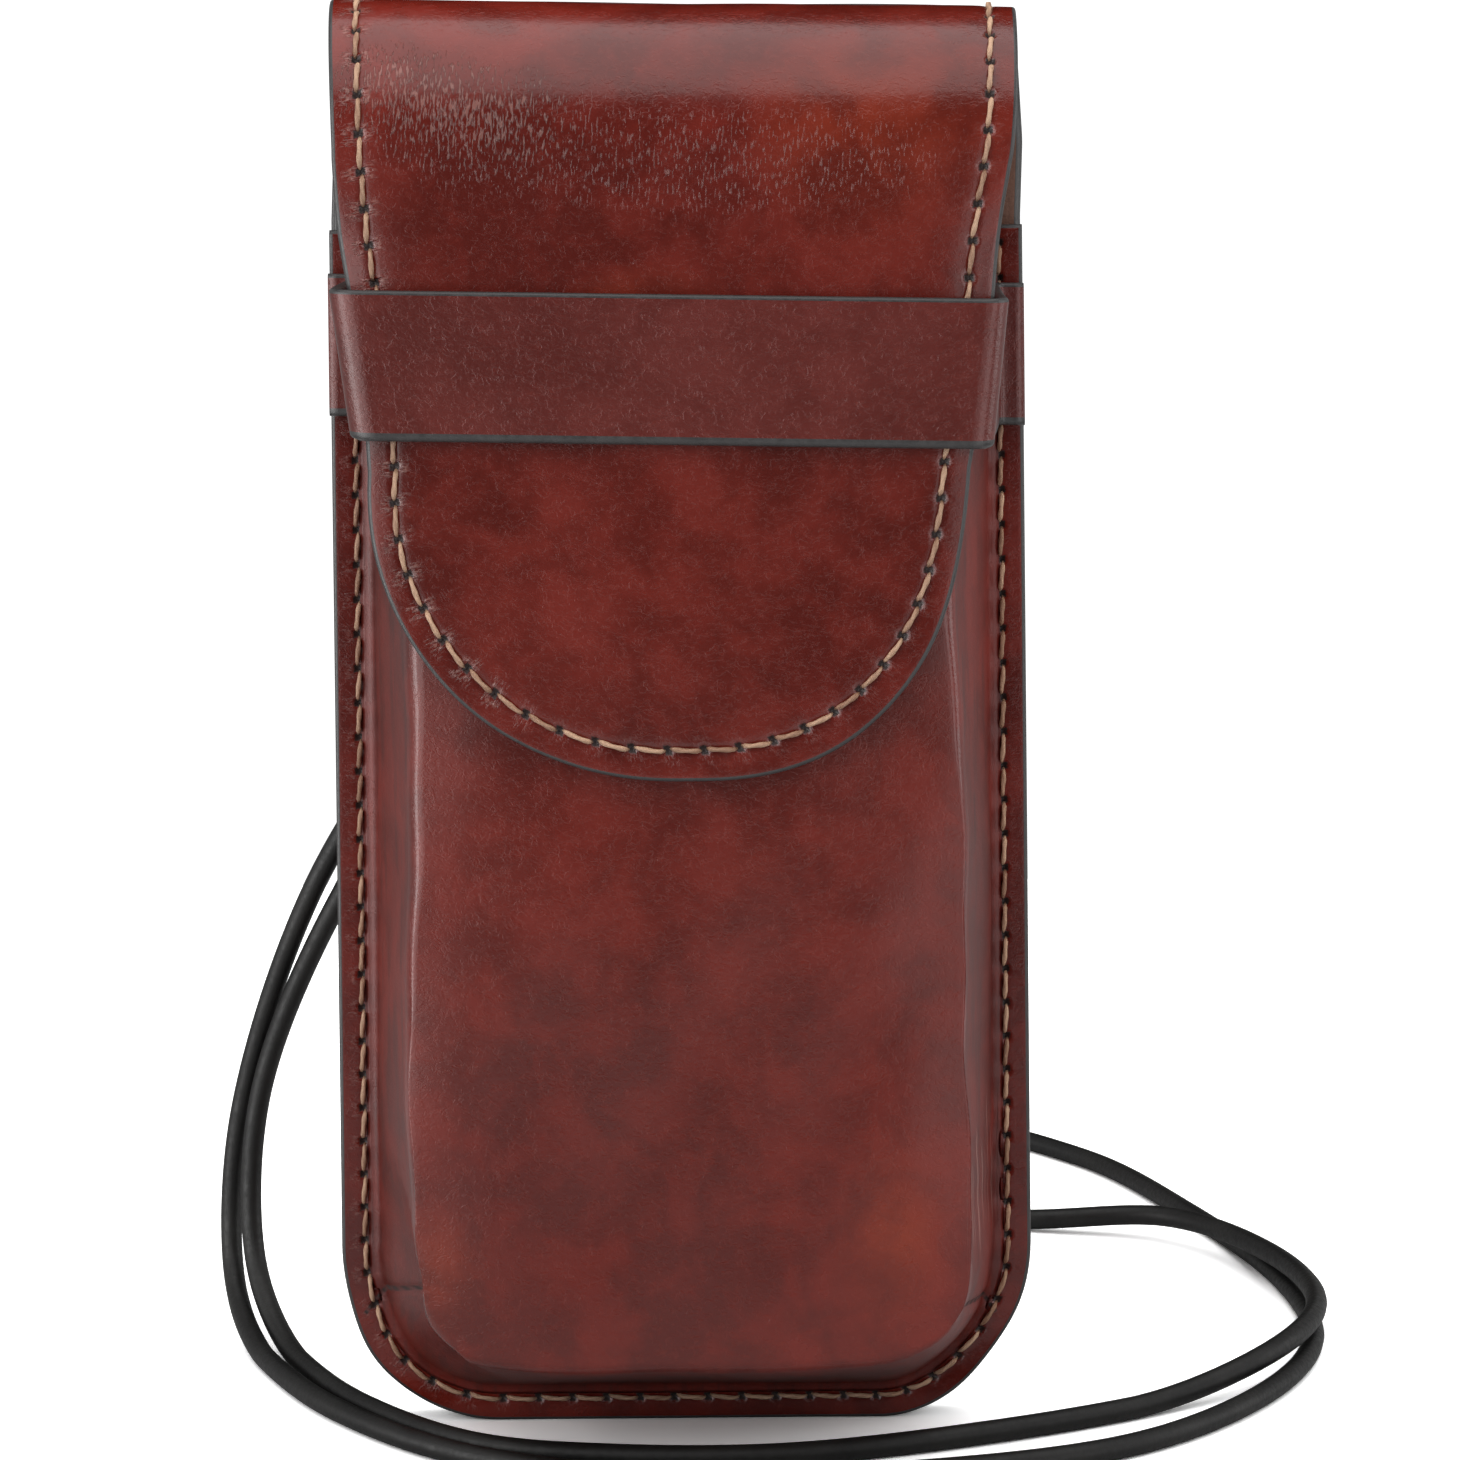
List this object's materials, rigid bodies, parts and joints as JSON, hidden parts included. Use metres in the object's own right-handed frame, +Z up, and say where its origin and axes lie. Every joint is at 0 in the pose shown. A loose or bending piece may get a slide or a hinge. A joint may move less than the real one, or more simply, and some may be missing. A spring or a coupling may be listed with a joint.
{
  "type": "glasses case",
  "caption": "Upright moulded leather glasses case with a stitched flange, a lined flap tucked under a retaining band, and a round neck cord anchored on the back.",
  "frame": {"origin": "on the surface the case stands on, under the middle of the case's box without its cord", "axes": "+Z up, the front with the flap and the band faces -Y, +X to the right as seen from the front"},
  "size_m": [0.1562, 0.166, 0.184],
  "materials": {
    "outer_leather": "mottled red-brown vegetable-tanned leather, polished",
    "lining_leather": "thin plain brown lining leather, matt",
    "band_leather": "red-brown leather strap, polished, with painted dark grey edges",
    "cord_black": "round black cord, smooth satin"
  },
  "bodies": {
    "case": {"back_panel": "outer_leather", "back_lining": "lining_leather", "front_shell": "outer_leather", "retaining_band": "band_leather", "cord_anchor": "outer_leather", "neck_cord": "cord_black"},
    "crown": {"flap_crown": "outer_leather", "flap_crown_lining": "lining_leather"},
    "tongue": {"flap_tongue": "outer_leather", "flap_tongue_lining": "lining_leather"}
  },
  "joints": [
    {"name": "flap_back_fold", "type": "hinge", "parent": "case", "child": "crown", "pos_m": [0, 0.01196, 0.18036], "axis": [-1, 0, 0], "range_deg": [0, 100]},
    {"name": "flap_front_fold", "type": "hinge", "parent": "crown", "child": "tongue", "pos_m": [0, -0.01476, 0.18036], "axis": [-1, 0, 0], "range_deg": [0, 80], "deforming": ["retaining_band"]}
  ]
}
